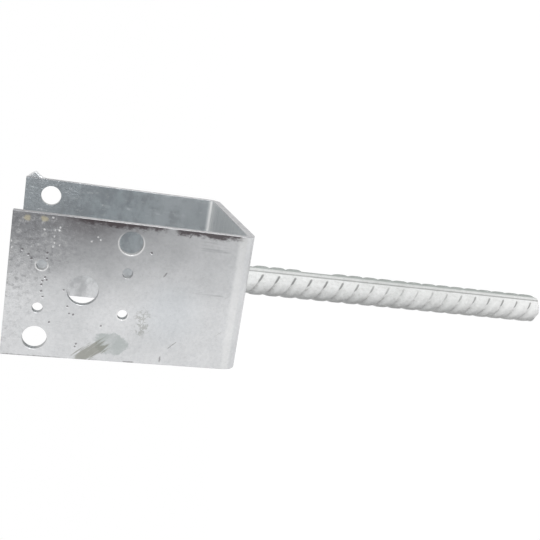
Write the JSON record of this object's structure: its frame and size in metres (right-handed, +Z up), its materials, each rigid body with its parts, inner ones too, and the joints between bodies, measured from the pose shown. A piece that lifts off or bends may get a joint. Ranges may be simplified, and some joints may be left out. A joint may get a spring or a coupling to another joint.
{
  "type": "timber post base",
  "caption": "U-shaped steel bracket, galvanised, with screw, nail and bolt holes in both legs and a ribbed bar under it for casting into concrete.",
  "frame": {"origin": "centre of the post seat, on the upper face of the web between the two legs", "axes": "+Z up along the legs and away from the anchor bar, X along the strip's width, Y from leg to leg; the leg at +Y carries the zinc drip"},
  "size_m": [0.0738, 0.11, 0.3192],
  "materials": {
    "galvanised_sheet": "satin hot-dip zinc, dull grey with stains and pits",
    "galvanised_bar": "thick bright hot-dip zinc over rolled ribs",
    "galvanised_weld": "rippled weld under zinc"
  },
  "bodies": {
    "root": {"bracket": "galvanised_sheet", "anchor_bar": "galvanised_bar", "weld_bead": "galvanised_weld"}
  },
  "joints": []
}
